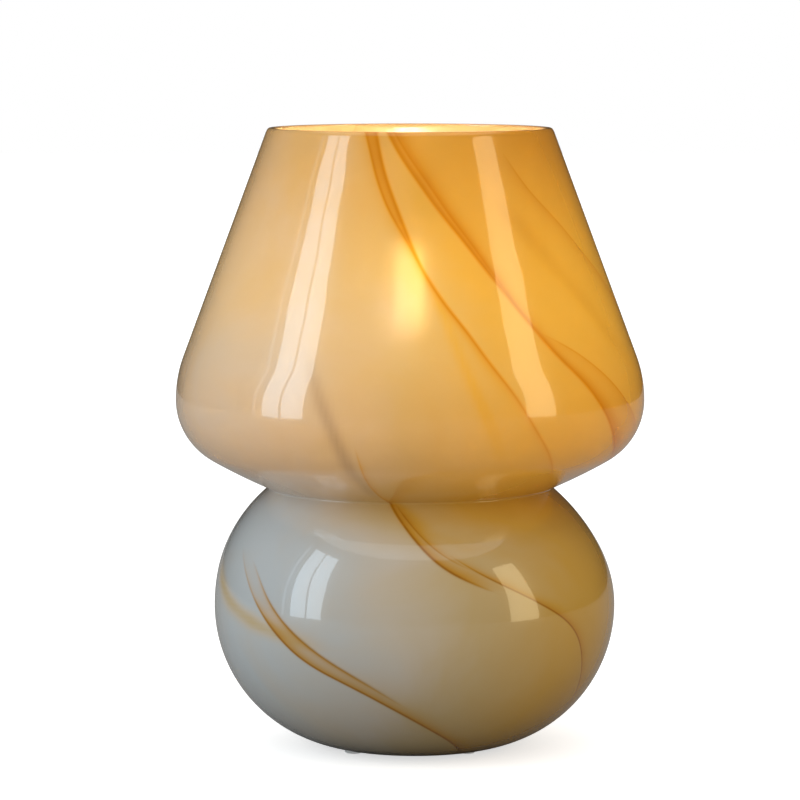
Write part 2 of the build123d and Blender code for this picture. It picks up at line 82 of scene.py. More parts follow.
def arc_on(start, direction, end, count):
    """The arc that leaves start in the given direction and ends at end: its centre lies on the normal
    to that direction, at the distance squared over twice the distance's share along the normal."""
    start, end = np.array(start, float), np.array(end, float)
    direction = np.array(direction, float) / np.hypot(*direction)
    normal = np.array([-direction[1], direction[0]])
    way = end - start
    radius = way @ way / (2 * (way @ normal))
    centre = start + normal * radius
    first, last = (atan2(*(p - centre)[::-1]) for p in (start, end))
    sweep = (last - first + pi) % (2 * pi) - pi
    turn = np.linspace(first, first + sweep, count)
    return np.c_[centre[0] + abs(radius) * np.cos(turn), centre[1] + abs(radius) * np.sin(turn)]


# %% The outline from the rim down to the foot
middle = (BELLY[0] - SWELL, BELLY[1])
reach = (MOUTH[0] - middle[0], MOUTH[1] - middle[1])
lean = degrees(atan2(reach[1], reach[0]) - acos(SWELL / hypot(*reach)))   # where the cone touches the swell
swell = arc(middle, SWELL, lean, 0, 90)
cone = np.linspace(MOUTH, swell[0], 280)
under_belly = arc((BELLY[0] - UNDER, BELLY[1]), UNDER, 0, -UNDER_TURN, 110)
inward = (-sin(radians(UNDER_TURN)), -cos(radians(UNDER_TURN)))
underside = arc_on(under_belly[-1], inward, WAIST, 120)
base_top = arc((BASE[0] - TOP_ARC, BASE[1]), TOP_ARC, TOP_TURN, 0, 90)
upward = (-sin(radians(TOP_TURN)), cos(radians(TOP_TURN)))
shoulder = arc_on(base_top[0], upward, WAIST, 120)[::-1]
base_low = arc_on(BASE, (0, -1), FOOT, 300)
shade_line = np.vstack([cone, swell[1:], under_belly[1:], underside[1:]])
base_line = np.vstack([shoulder, base_top[1:], base_low[1:]])
outline = np.vstack([shade_line, base_line[1:]])
run = np.r_[0, np.cumsum(np.hypot(*np.diff(outline, axis=0).T))]  # millimetres down the outside from the rim
print(f"cone leans {lean:.2f} degrees, the outside is {run[-1]:.1f} mm long from rim to foot")

# %% [markdown]
# ## The wall
# Blown glass has a fairly even wall, here 2.6 mm, but it gathers where the waist is pinched, so a thick
# bead stands there on the inside. The rim is cut and then fire-polished: the flame melts its edges
# round. The section is one closed path: from the middle of the underside out to the foot, up the
# outside, over the lip, down the inside and over the bead, and along the thick floor back to the axis.
# It could be an outside surface with a Solidify modifier, but the bead, the lip and the floor differ
# from an even wall, so the path states them.

# %% Sizes of the wall
WALL = 2.6
BEAD = 5.2       # radius of the gathered glass around the crease
FLOOR = 7.0      # height of the floor inside the base
CREASE = 0.9     # reach of the small curve that rounds the crease outside
LIP = 1.04       # how far below the mouth the flame begins to round the outer edge


# %% Moving and rounding a line
def moved_in(line, depth):
    """The line moved sideways by depth, towards the axis: each point goes along its normal."""
    way = np.gradient(line, axis=0)
    way /= np.hypot(*way.T)[:, None]
    return line + depth * np.c_[way[:, 1], -way[:, 0]]


def eased(line, corner, reach):
    """The line with its corner replaced by a curve that leaves it and meets it again without a kink,
    reach millimetres before and after: (1-t)^2 a + 2t(1-t) corner + t^2 b."""
    gap = np.hypot(*(line - corner).T)
    near = np.flatnonzero(gap < reach)
    a, b = line[near[0] - 1], line[near[-1] + 1]
    t = np.linspace(0, 1, 14)[1:-1, None]
    curve = (1 - t) ** 2 * a + 2 * t * (1 - t) * corner + t ** 2 * b
    return np.vstack([line[:near[0]], curve, line[near[-1] + 1:]])


# %% Inside lines and the bead that joins them
outside = eased(outline, WAIST, CREASE)[::-1]                    # foot to rim
shade_in = moved_in(shade_line, WALL)
base_in = moved_in(base_line, WALL)
shade_in = shade_in[np.hypot(*(shade_in - WAIST).T) > BEAD + 0.6]
base_in = base_in[(np.hypot(*(base_in - WAIST).T) > BEAD + 0.6) & (base_in[:, 1] > FLOOR + 0.4)]
bead_start = degrees(atan2(*(shade_in[-1] - WAIST)[::-1])) % 360
bead_end = degrees(atan2(*(base_in[0] - WAIST)[::-1])) % 360
bead = arc(WAIST, BEAD, bead_start - 14, bead_end + 14, 60)
print(f"the bead turns from {bead_start:.0f} to {bead_end:.0f} degrees around the crease")

# %% The lip, the push-up and the floor close the section
way = (MOUTH[0] - swell[0][0], MOUTH[1] - swell[0][1])
lip_out = np.array(MOUTH) - LIP * np.array(way) / hypot(*way)
top = MOUTH[1]
lip = np.array([[MOUTH[0] - 0.15, top - 0.28], [MOUTH[0] - 0.62, top - 0.04], [MOUTH[0] - 1.35, top],
                [shade_in[0][0] + 0.55, top - 0.04], [shade_in[0][0] + 0.13, top - 0.30]])
outside = outside[outside[:, 1] < lip_out[1]]
shade_in = shade_in[shade_in[:, 1] < lip_out[1]]
kick = np.c_[np.linspace(0, 26.6, 30), 3.5 - 2.5 * np.linspace(0, 1, 30) ** 2]   # push-up in the middle
keel = np.c_[np.linspace(base_in[-1][0] - 0.5, 0, 24), np.full(24, FLOOR)]
section = np.vstack([kick, outside, lip, shade_in, bead, base_in, keel])
section[0, 0] = section[-1, 0] = 0.0


# %% Points along the section: close together at the crease and the lip, wide apart elsewhere
def resampled(line, steps):
    """Points along a line whose spacing follows steps (place, millimetres): the count of points is the
    running integral of one over the spacing, read back at whole numbers."""
    path = np.r_[0, np.cumsum(np.hypot(*np.diff(line, axis=0).T))]
    fine = np.arange(0, path[-1], 0.02)
    spacing = np.interp(fine, *np.array(steps).T)
    count = np.cumsum(0.02 / spacing)
    pick = np.interp(np.linspace(0, count[-1], int(count[-1]) + 1), count, fine)
    pick[0], pick[-1] = 0, path[-1]
    return np.c_[np.interp(pick, path, line[:, 0]), np.interp(pick, path, line[:, 1])]


place = np.r_[0, np.cumsum(np.hypot(*np.diff(section, axis=0).T))]
at_crease = place[np.argmin(np.hypot(*(section - WAIST).T))]
at_lip = place[np.argmax(section[:, 1])]
spacing = [(0, 4), (28, 1.6), (40, 1.6),
           (at_crease - 4, 1.7), (at_crease - 1.2, 0.22), (at_crease + 1.2, 0.22), (at_crease + 4, 1.7),
           (at_lip - 5, 1.7), (at_lip - 2.5, 0.32), (at_lip + 2.5, 0.32), (at_lip + 6, 2.8),
           (place[-1] - 60, 3.0), (place[-1], 4)]
section = resampled(section, spacing)
print(f"section path {place[-1]:.0f} mm, {len(section)} points, crease at {at_crease:.0f}, lip at {at_lip:.0f}")

# %% [markdown]
# ## The glass as a surface
# The section is turned around the axis into a grid of points: one row per point of the path, one column
# per direction. It could be a Spin modifier, but a grid of our own knows each point's place, which the
# streaks need. Hand-blown glass is never quite true, and in the photo the base stands 1.75 mm to the
# right under the shade, so each row is moved sideways by a smooth step of its height.

# %% The grid of points
COLUMNS = 296
NARROWER = 0.9995     # the surface stays a hair inside the CAD box
azimuth = np.linspace(0, 2 * pi, COLUMNS, endpoint=False) - pi / COLUMNS  # 0 is the front, positive towards +X


def sideways(z):
    """How far the base stands to the right: 1.75 mm times a smooth step from height 99 down to 55."""
    t = np.clip((99 - z) / 44, 0, 1)
    return 1.75 * t * t * (3 - 2 * t)


def rows_to_grid(rows, columns):
    """Quads between neighbouring rows of a grid that closes around the axis."""
    i, j = np.meshgrid(np.arange(rows - 1), np.arange(columns), indexing="ij")
    k = (j + 1) % columns
    corners = [i * columns + j, i * columns + k, (i + 1) * columns + k, (i + 1) * columns + j]
    return np.stack(corners, -1).reshape(-1, 4)


ring_rows = section[1:-1] * [NARROWER, 1]      # the two ends are poles on the axis
rows = len(ring_rows)
R, Z = ring_rows[:, 0][:, None], ring_rows[:, 1][:, None]
grid = np.stack([R * np.sin(azimuth) + sideways(Z), -R * np.cos(azimuth), Z + 0 * azimuth], -1)
points = grid.reshape(-1, 3)
quads = rows_to_grid(rows, COLUMNS)
print("grid of", rows, "rows and", COLUMNS, "columns")

# %% [markdown]
# ## The drilled hole for the cable
# The hole was drilled after the glass was cold, so its edge is sharp and its wall straight. A Boolean
# modifier could cut it, but it leaves thin slivers that spoil the gloss. Instead a block of the grid at
# the back is left out on both walls, a ring of faces leads from its border to the drilled circle, and
# a short tube of faces goes through the wall.

# %% Where the hole is
HOLE = 5.0            # its radius
HOLE_LEVEL = 20.0     # height of its middle
LOW_ARC = 54.894      # radius of the arc from the base's widest ring to the foot
ACROSS, UP = 10, 7    # columns and rows of the grid that are left out
turn_down = np.arcsin((BASE[1] - HOLE_LEVEL) / LOW_ARC)
hole_centre = np.array([0, BASE[0] - LOW_ARC * (1 - cos(turn_down)), HOLE_LEVEL])
hole_axis = np.array([0, cos(turn_down), -sin(turn_down)])
hole_up = np.array([0, sin(turn_down), cos(turn_down)])
print(f"the hole looks {degrees(turn_down):.1f} degrees down")


# %% The circle on each wall
def angle_of(p):
    """Direction of points around the axis of the hole."""
    rel = p - hole_centre
    return np.arctan2(rel @ hole_up, rel[:, 0])


def drilled(rows_on_wall, first_row):
    """Border of the left-out block, and the drilled circle on that wall: one circle point for each
    border point, in the same direction from the hole's axis, brought onto the wall by halving."""
    nearest = first_row + int(np.argmin(np.abs(rows_on_wall[:, 1] - hole_centre[2])))
    low, high = nearest - UP // 2, nearest - UP // 2 + UP
    left, right = COLUMNS // 2 - ACROSS // 2, COLUMNS // 2 - ACROSS // 2 + ACROSS
    border = [low * COLUMNS + j for j in range(left, right)] + [i * COLUMNS + right for i in range(low, high)]
    border += [high * COLUMNS + j for j in range(right, left, -1)]
    border += [i * COLUMNS + left for i in range(high, low, -1)]
    angle = angle_of(points[border])[:, None]
    circle = hole_centre + HOLE * (np.cos(angle) * np.array([1, 0, 0]) + np.sin(angle) * hole_up)
    order = np.argsort(rows_on_wall[:, 1])
    near, far = np.full(len(border), -12.0), np.full(len(border), 6.0)
    for _ in range(40):
        mid = (near + far) / 2
        p = circle + mid[:, None] * hole_axis
        wall_radius = np.interp(p[:, 2], rows_on_wall[order, 1], rows_on_wall[order, 0])
        inside = np.hypot(p[:, 0] - sideways(p[:, 2]), p[:, 1]) < wall_radius
        near, far = np.where(inside, mid, near), np.where(inside, far, mid)
    return (low, high, left, right), np.array(border), circle + near[:, None] * hole_axis


# %% Leave the blocks out, and lead to the circles and through the wall
at_lip_row = int(np.argmax(ring_rows[:, 1]))
is_low = ring_rows[:, 1] < BASE[1] - 0.5
on_outside = is_low & (np.arange(rows) < at_lip_row) & (ring_rows[:, 0] > 36)
on_inside = is_low & (np.arange(rows) > at_lip_row) & (ring_rows[:, 1] > FLOOR + 0.6)
keep = np.ones((rows - 1, COLUMNS), bool)
rings, ring_faces, circle_start = [], [], []
for on_wall in (on_outside, on_inside):
    where = np.flatnonzero(on_wall)
    (low, high, left, right), border, circle = drilled(ring_rows[where], where[0])
    keep[low:high, left:right] = False
    rings.append((border, circle))
quads = quads[keep.reshape(-1)]
for border, circle in rings:
    start, count = len(points), len(border)
    k = np.arange(count)
    circle_start.append(start)
    points = np.vstack([points, circle])
    ring_faces.append(np.c_[border, np.roll(border, -1), start + (k + 1) % count, start + k])
outer, inner = (start + np.argsort(angle_of(circle)) for start, (_, circle) in zip(circle_start, rings))
ring_faces.append(np.c_[outer, inner, np.roll(inner, -1), np.roll(outer, -1)])
print("faces around and through the hole:", sum(map(len, ring_faces)))


# %% Close the two poles and make the piece
def new_piece(name, points, faces, body):
    """A smooth-shaded object from points in millimetres and a list of faces, riding on a CAD body."""
    mesh = bpy.data.meshes.new(name)
    mesh.from_pydata((points * MM).tolist(), [], faces)
    mesh.validate()
    mesh.shade_smooth()
    piece = bpy.data.objects.new(name, mesh)
    bpy.context.collection.objects.link(piece)
    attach(piece, body)
    print(f"{name}: {len(mesh.vertices)} points, {len(mesh.polygons)} faces")
    return piece


under_pole, floor_pole = len(points), len(points) + 1
points = np.vstack([points, [[sideways(0.0), 0, section[0, 1]], [sideways(0.0), 0, section[-1, 1]]]])
j = np.arange(COLUMNS)
fan_under = np.c_[np.full(COLUMNS, under_pole), (j + 1) % COLUMNS, j]
last = (rows - 1) * COLUMNS
fan_floor = np.c_[np.full(COLUMNS, floor_pole), last + j, last + (j + 1) % COLUMNS]
faces = quads.tolist() + np.vstack(ring_faces).tolist() + fan_under.tolist() + fan_floor.tolist()
glass = new_piece("blown_glass", points, faces, "lamp")
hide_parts("glass_body")

# %% [markdown]
# ## Where the streaks run
# Streaks are threads of amber glass laid on the gather and then drawn out and twisted as the bubble is
# blown, so each is a long diagonal line that starts steep at the rim and swings round over the belly.
# Each line below is given as places on the glass: direction in degrees from the front, and
# millimetres down the outside from the rim. Every point of the glass then gets its distance across each
# line, and the material turns distance into a fine dark edge with a soft amber feather beside it. A
# painted image could do the same, but distance keeps a hair-fine line sharp at any size.

# %% Streak lines: fine is half the fine edge's width, strength and feather change down the glass
streaks = {
    "a": dict(
        fine=0.62,
        line=[(-13.4, 0.5), (-10.6, 11.7), (-7.9, 19.7), (-5.1, 27.2), (-2.1, 36.1), (0.2, 43.6), (2, 49.2),
              (4.8, 56.2), (7.4, 61.8), (9.3, 66.5), (11.8, 71.2), (14.8, 76.8), (17.6, 83.9), (20.3, 90.4),
              (24.1, 98.1), (27.7, 106.7), (30.8, 114.2), (44, 139), (58, 158)],
        strength=[(0, 1.2), (60, 0.95), (110, 0.5), (150, 0.15), (160, 0)],
        feather=[(0, -2.6), (35, -2.0), (49, -1.0), (90, -1.5), (160, -1)]),
    "a_left": dict(
        fine=0.5,
        line=[(-17.4, 0.5), (-15.2, 7), (-12.6, 15.9), (-9.4, 24.4), (-6.2, 32.3), (-2.9, 37.9), (-0.2, 44.5),
              (2.0, 49.2), (5, 57)],
        strength=[(0, 0.9), (40, 0.7), (53, 0)],
        feather=[(0, 2.2), (40, 1.2), (60, 0.6)]),
    "b": dict(
        fine=0.7,
        line=[(-8.4, 0.5), (-4.8, 7), (-0.2, 14.1), (4.9, 22.5), (10.3, 32.3), (14.7, 38.9), (18.1, 45),
              (21.3, 51.5), (25.2, 58.6), (28.8, 66.1), (31.8, 72.1), (35.4, 79.2), (38.9, 86.2), (42.7, 92.3),
              (47.5, 99.2), (51.4, 106.4), (54.5, 111.5), (57, 116.6), (61.6, 123.5), (75, 140), (92, 158)],
        strength=[(0, 1.2), (70, 1.1), (120, 1.3), (150, 0.5), (160, 0)],
        feather=[(0, 4.2), (50, 2.4), (85, 1.4), (110, 3.2), (124, 4.2), (160, 2)]),
    "b_right": dict(
        fine=0.45,
        line=[(-5.8, 0.5), (-2.0, 7), (2.8, 14.1), (7.8, 22.5), (12.6, 32.3), (16.6, 38.9), (19.7, 45),
              (22.6, 51.5), (26, 58.6), (29.2, 66), (32, 72)],
        strength=[(0, 0.9), (45, 0.8), (70, 0)],
        feather=[(0, 1.6), (70, 0.8)]),
    "c": dict(
        fine=0.35,
        line=[(38.5, 80.1), (46.1, 85.7), (52.2, 92.3), (59, 100.7), (64.9, 108.1), (69.7, 113.5), (86, 131),
              (104, 150)],
        strength=[(78, 0), (84, 0.4), (110, 0.5), (140, 0.2), (152, 0)],
        feather=[(80, -3), (110, -4), (150, -3)]),
    "d": dict(
        fine=0.4,
        line=[(38.9, 12.6), (44.9, 24.4), (52.2, 32.3), (58.8, 40.8), (64.5, 49.2), (70.6, 55.7), (84, 72),
              (98, 92), (116, 112), (138, 134), (158, 156)],
        strength=[(8, 0), (16, 0.28), (56, 0.34), (110, 0.6), (150, 0.3), (158, 0)],
        feather=[(10, -2), (60, -3.2), (150, -3)]),
    "e": dict(
        fine=0.5,
        line=[(-14.1, 110), (-12.9, 124.2), (-12.5, 132.1), (-12.2, 145), (-10.7, 155.6), (-7.9, 163.4),
              (-3.7, 170.7), (-0.3, 177.3), (3.4, 183.5), (6.8, 188.7), (10.1, 192.7), (13.6, 195.2),
              (16.9, 197.4), (24, 201.5)],
        strength=[(120, 0), (133, 0.4), (158, 0.6), (168, 1.0), (194, 1.0), (201, 0)],
        feather=[(120, 0.8), (165, 2.4), (195, 2.8)]),
    "e_upper": dict(
        fine=0.35,
        line=[(-6.0, 163), (-1.2, 171), (3.0, 178), (7.5, 184.5), (13, 190), (19, 193.5)],
        strength=[(163, 0), (169, 0.6), (184, 0.45), (193, 0)],
        feather=[(163, 1.2), (193, 1.6)]),
    "f": dict(
        fine=0.35,
        line=[(10, 184.5), (13.7, 188), (18.4, 193.1), (22.5, 196.1), (26.8, 198.7), (31.2, 202.1),
              (35.9, 205.1), (40.9, 208.5), (45.5, 212.4), (49.4, 215.4), (53.9, 222.8), (58.3, 234.4),
              (62.1, 243.7), (66, 262), (70, 285)],
        strength=[(186, 0), (196, 0.75), (216, 0.75), (245, 0.35), (285, 0)],
        feather=[(184, 0.8), (216, 1.6), (285, 3)]),
    "g": dict(
        fine=0.5,
        line=[(-80, 170), (-63.5, 190), (-57.1, 199.1), (-51.3, 207.2), (-45.3, 214.9), (-40.1, 220.5),
              (-33.7, 227.4), (-27.6, 232.1), (-20.6, 235.3), (-13.1, 241.4), (-5.4, 247.9), (3.4, 256.2),
              (11.4, 264.1), (19.6, 274.3), (30, 292)],
        strength=[(188, 0), (206, 0.3), (217, 1.0), (262, 0.9), (275, 0.7), (292, 0)],
        feather=[(180, 2), (216, 3.4), (240, 2.4), (262, 2.2), (290, 5)]),
    "g_upper": dict(
        fine=0.55,
        line=[(-62, 186), (-52, 196), (-46.5, 205), (-41, 212), (-36, 217.5), (-30, 223), (-24, 228),
              (-17.5, 232.8), (-10, 239), (-3, 246)],
        strength=[(192, 0), (204, 0.35), (216, 0.75), (232, 0.6), (246, 0)],
        feather=[(192, -1.5), (246, -1.2)]),
    # the back isn't in the photo: two more turns of the same swirl, and one on the base
    "h": dict(
        fine=0.45,
        line=[(118, 0.5), (126, 20), (138, 45), (152, 70), (166, 92), (180, 112), (196, 132), (214, 154)],
        strength=[(0, 0.9), (70, 0.9), (130, 0.6), (156, 0)],
        feather=[(0, 5), (50, 3), (156, 3)]),
    "i": dict(
        fine=0.4,
        line=[(204, 0.5), (212, 22), (224, 48), (238, 72), (250, 94), (262, 116), (274, 136), (286, 156)],
        strength=[(0, 0.5), (60, 0.55), (120, 0.35), (158, 0)],
        feather=[(0, -4), (60, -2.5), (156, -2)]),
    "j": dict(
        fine=0.45,
        line=[(120, 162), (134, 180), (150, 200), (168, 220), (188, 242), (206, 262), (222, 288)],
        strength=[(162, 0), (175, 0.9), (240, 0.9), (288, 0.2)],
        feather=[(162, 2), (290, 4)]),
}
print("streak lines:", len(streaks))

# %% The place of each point on the glass
radius_here = np.hypot(points[:, 0] - sideways(points[:, 2]), points[:, 1])
phi = np.degrees(np.arctan2(points[:, 0] - sideways(points[:, 2]), -points[:, 1]))


def down_the_outside(radius, z):
    """Millimetres down the outside from the rim for each point: the nearest outline point's place, plus
    how far the point lies beyond it along the outline. Equal radius and height are looked up once."""
    along = np.gradient(outline, axis=0)
    along /= np.hypot(*along.T)[:, None]
    both, back = np.unique(np.round(np.c_[radius, z], 3), axis=0, return_inverse=True)
    near = np.hypot(both[:, None, 0] - outline[None, :, 0], both[:, None, 1] - outline[None, :, 1]).argmin(1)
    place = run[near] + ((both - outline[near]) * along[near]).sum(1).clip(-1, 1)
    return place[np.ravel(back)]


S = down_the_outside(radius_here, points[:, 2])
print(f"places from {S.min():.1f} to {S.max():.1f} mm down the outside")


# %% Distance across a streak, stored on the glass
def give(piece, name, kind, values):
    """Stores values on the points of a piece, for its material to read."""
    slot = piece.data.attributes.new(name, kind, "POINT")
    values = np.ascontiguousarray(values, np.float32).reshape(-1)
    slot.data.foreach_set("vector" if kind == "FLOAT_VECTOR" else "value", values)


def hill(value, steps):
    """Straight steps between (place, height) pairs."""
    return np.interp(value, *np.array(steps, float).T)


def flowing(line):
    """Places along a line every half millimetre, made smooth: straight steps between the given places,
    averaged over 9 mm twice, with both ends carried on at their own slope."""
    at, places = np.array(line, float).T
    fine = np.arange(places[0] - 20, places[-1] + 20, 0.5)
    first = (at[1] - at[0]) / (places[1] - places[0])
    last = (at[-1] - at[-2]) / (places[-1] - places[-2])
    turn = np.interp(fine, places, at)
    turn = turn + np.minimum(fine - places[0], 0) * first + np.maximum(fine - places[-1], 0) * last
    kernel = np.ones(19) / 19
    for _ in range(2):
        turn = np.convolve(np.pad(turn, 9, mode="reflect", reflect_type="odd"), kernel, "valid")
    return fine, turn


def across(line):
    """Degrees and square millimetres between each point and a line: the direction between them, and that
    as an arc of the point's radius over sqrt(1 + slope^2), the slope being millimetres round per
    millimetre down."""
    places, at = flowing(line)
    turned = (phi - np.interp(S, places, at) + 180) % 360 - 180
    slope = np.interp(S, places, np.gradient(np.radians(at), places)) * radius_here
    return turned, np.radians(turned) * radius_here / np.sqrt(1 + slope ** 2)


for name, streak in streaks.items():
    turned, distance = across(streak["line"])
    strength = hill(S, streak["strength"]) * (np.abs(turned) < 120)   # not on the far side of the glass
    give(glass, "streak_" + name, "FLOAT_VECTOR", np.c_[distance, hill(S, streak["feather"]), strength])
print("attributes on the glass:", len(glass.data.attributes))

# %% [markdown]
# ## The amber wash, with painted light, and the grey smoke
# Between the streaks the glass isn't even: amber glass has dissolved into the opal here and there. In
# the photo the shade turns from pale at the left to amber at the right, with soft broad bands along the
# streaks, and one smoky band runs into the waist. The turn from pale to amber is partly the glass's own
# amber and partly painted light: pale and cool on the side of the window, warm on the side of the warm
# room light. The wash also holds a painted highlight, a paler patch at the front level with the filaments.
# The wash is a sum of smooth hills over the two places on the glass, and the bands are the same
# distances as before with a soft bell across them.


# %% A soft band, and the amber wash with its painted light around the glass
def soft_band(line, width, strength):
    """A soft streak: strength times exp(-(distance / width)^2)."""
    return hill(S, strength) * np.exp(-(across(line)[1] / width) ** 2)


# partly painted light: least amber on the left, where the cool window light falls, and most on the right, where the
# warm room light falls; the rest is the glass's own amber
around_shade_amber_and_side_light = [(-180, 0.4), (-140, 0.2), (-100, 0.04), (-60, 0.06), (-30, 0.14), (-8, 0.3), (10, 0.45),
               (30, 0.62), (60, 0.72), (90, 0.75), (130, 0.62), (180, 0.4)]
around_base_amber_and_side_light = [(-180, 0.3), (-120, 0.06), (-75, 0.0), (-40, 0.02), (-20, 0.08), (-5, 0.15), (10, 0.24),
              (25, 0.37), (40, 0.5), (55, 0.6), (75, 0.65), (110, 0.6), (150, 0.45), (180, 0.3)]
on_base = np.clip((S - 150) / 25, 0, 1)
from_rim = [(0, 0.24), (50, 0.1), (90, 0), (300, 0)]
amber_and_painted_light = hill(phi, around_shade_amber_and_side_light) * (1 - on_base) + hill(phi, around_base_amber_and_side_light) * on_base + hill(S, from_rim)

# %% Bands of amber and of smoke
bands = [
    ([(7.4, 63.7), (10.2, 75.9), (14.8, 96.9), (18.7, 111.5), (24, 130)],
     2.2, [(55, 0), (66, 0.14), (110, 0.12), (130, 0)]),
    ([(34.1, 31.9), (45.5, 51.5), (53.2, 63.2), (66, 84.8), (80, 104)],
     4.5, [(25, 0), (35, 0.14), (84, 0.16), (104, 0)]),
    ([(-4, 164.5), (1.5, 173.1), (10.7, 181.8), (20.5, 185.2)],
     3.4, [(160, 0), (170, 0.16), (184, 0.1), (190, 0)]),
    ([(-78, 200), (-66.7, 210.6), (-49.5, 216.7), (-43.8, 218.1), (-36, 221)],
     3.2, [(194, 0), (204, 0.34), (218, 0.24), (224, 0)]),
]
for line, width, strength in bands:
    amber_and_painted_light += soft_band(line, width, strength)
# partly painted warm light: more amber on the right half around the waist, the side the warm room light falls on
warm_lit_right_half = np.clip((phi + 45) / 50, 0, 1)
amber_and_painted_light += warm_lit_right_half * hill(S, [(152, 0), (162, 0.2), (170, 0.16), (186, 0)])
amber_and_painted_light += hill(S, [(0, 0), (232, 0), (285, 0.16)])
amber_and_painted_light -= 0.13 * np.exp(-((phi + 2) / 13) ** 2 - ((S - 66) / 26) ** 2)   # painted highlight: paler, whiter glass at the front, level with the filaments, where the bulb shines through
smoke = soft_band([(-27, 84), (-22.2, 100.7), (-17.7, 117), (-15.2, 132.1), (-12.5, 155.9)], 2.6,
                  [(82, 0), (95, 0.5), (118, 0.9), (150, 0.8), (160, 0)])
inside_wall = np.zeros(len(points))
inside_wall[(at_lip_row + 2) * COLUMNS:rows * COLUMNS] = 1
inside_wall[circle_start[1]:under_pole] = 1
inside_wall[floor_pole] = 1
# the stored wash is the glass's amber together with painted side light and a painted highlight of the bulb
give(glass, "amber_with_painted_light", "FLOAT", amber_and_painted_light)
give(glass, "grey_smoke", "FLOAT", smoke)
give(glass, "down", "FLOAT", S)
give(glass, "inside_wall", "FLOAT", inside_wall)
print("wash from", round(float(amber_and_painted_light.min()), 2), "to", round(float(amber_and_painted_light.max()), 2))

# %% [markdown]
# ## Threads
# The bulb's cap and the shell that takes it are rolled from thin metal, so their thread is a soft wave
# that shows on both sides of the sheet. The M10 tube has a fine cut thread. In CAD all three are plain
# tubes. A thread is a tube whose radius goes up and down with the height less the direction's share of
# the lead, so the same formula turns and rises with the bulb and stays in mesh with the shell.


# %% A tube with a thread in it
def threaded(name, loop, lead, depth, low, high, columns, body, node, step, plain_inside=0, inner_share=0):
    """A turned piece with a closed section loop whose radius is less by depth (1 - cos(2 pi z / lead -
    direction)) / 2 between the heights low and high, easing in and out over half a lead. Nearer the
    axis than plain_inside only inner_share of that wave is left."""
    loop = np.vstack([loop, loop[:1]])
    loop = resampled(np.array(loop, float), [(0, step), (1000, step)])[:-1]
    turn = np.linspace(0, 2 * pi, columns, endpoint=False)
    r, z = loop[:, 0][:, None], loop[:, 1][:, None]
    fade = np.clip((z - low) / (lead / 2), 0, 1) * np.clip((high - z) / (lead / 2), 0, 1)
    wave = fade * depth * (1 - np.cos(2 * pi * z / lead - turn)) / 2
    rr = r - wave * np.where(r > plain_inside, 1, inner_share)
    points = np.stack([rr * np.cos(turn), rr * np.sin(turn), z + 0 * turn], -1).reshape(-1, 3)
    faces = rows_to_grid(len(loop) + 1, columns) % (len(loop) * columns)   # the last row leads to the first
    piece = new_piece(name, points, faces.tolist(), body)
    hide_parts(node)
    return piece


def levels(node):
    """Lowest and highest height of a CAD node in millimetres."""
    return [corner[2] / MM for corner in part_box(node)]


# %% The bulb's cap and the shell of the holder
LEAD, THREAD_DEPTH = 2.822, 0.44
CAP, CAP_SHEET = 6.9, 0.35        # radius and sheet of the cap, which flares at its top for the glass
low, high = levels("bulb_cap")
cap_loop = [(CAP - 1.9, low), (CAP, low), (CAP, high - 2.2), (8.6, high), (8.25, high),
            (CAP - CAP_SHEET, high - 2.2), (CAP - CAP_SHEET, low + CAP_SHEET), (CAP - 1.9, low + CAP_SHEET)]
bulb_cap = threaded("rolled_thread_cap", cap_loop, LEAD, THREAD_DEPTH, low - 2, high - 3.0, 96,
                    "bulb", "bulb_cap", 0.28, plain_inside=6.6, inner_share=0.4)

SHELL, SHELL_SHEET = 7.65, 0.4    # radius and sheet of the shell, which turns in at its foot
low, high = levels("thread_shell")
shell_loop = [(6.25, low), (SHELL, low), (SHELL, high), (SHELL - SHELL_SHEET, high),
              (SHELL - SHELL_SHEET, low + SHELL_SHEET), (6.25, low + SHELL_SHEET)]
shell = threaded("rolled_thread_shell", shell_loop, LEAD, THREAD_DEPTH, low + 0.8, high - 0.4, 96,
                 "lamp", "thread_shell", 0.3)

# %% The tube that carries the holder
low, high = levels("threaded_tube")
tube_loop = [(3.6, low), (4.6, low), (5.0, low + 0.4), (5.0, high - 0.4), (4.6, high), (3.6, high)]
tube = threaded("cut_thread_tube", tube_loop, 1.0, 0.5, low + 0.3, high - 0.3, 64,
                "lamp", "threaded_tube", 0.14, plain_inside=4.3)

# %% [markdown]
# ## Finishes
# Every finish is made of nodes that read the place on the object, so patterns have real sizes. One
# helper adds a node with its settings and links. Colours are written as the hex values a painter
# would pick, and one function turns them into the linear light that the renderer counts in.


# %% Helpers for finishes
def linear(code):
    """A hex colour as linear light: each channel c becomes ((c + 0.055) / 1.055)^2.4, or c / 12.92 when dark."""
    channels = [int(code[i:i + 2], 16) / 255 for i in (1, 3, 5)]
    return (*[c / 12.92 if c <= 0.04045 else ((c + 0.055) / 1.055) ** 2.4 for c in channels], 1.0)


def put(tree, kind, inputs=(), stops=(), **settings):
    """Adds a node of a kind and sets its own settings. Inputs come in order or by name: a node stands for
    its first output, and an output is linked; anything else is the input's value. Stops are the
    (place, hex colour) pairs of a colour ramp."""
    item = tree.nodes.new("ShaderNode" + kind)
    for key, value in settings.items():
        setattr(item, key, value)
    for k, (at, code) in enumerate(stops):
        stop = item.color_ramp.elements[k] if k < 2 else item.color_ramp.elements.new(at)
        stop.position, stop.color = at, linear(code)
    for key, value in inputs.items() if isinstance(inputs, dict) else enumerate(inputs):
        value = value.outputs[0] if isinstance(value, bpy.types.Node) else value
        if isinstance(value, bpy.types.NodeSocket):
            tree.links.new(value, item.inputs[key])
        else:
            item.inputs[key].default_value = value
    return item


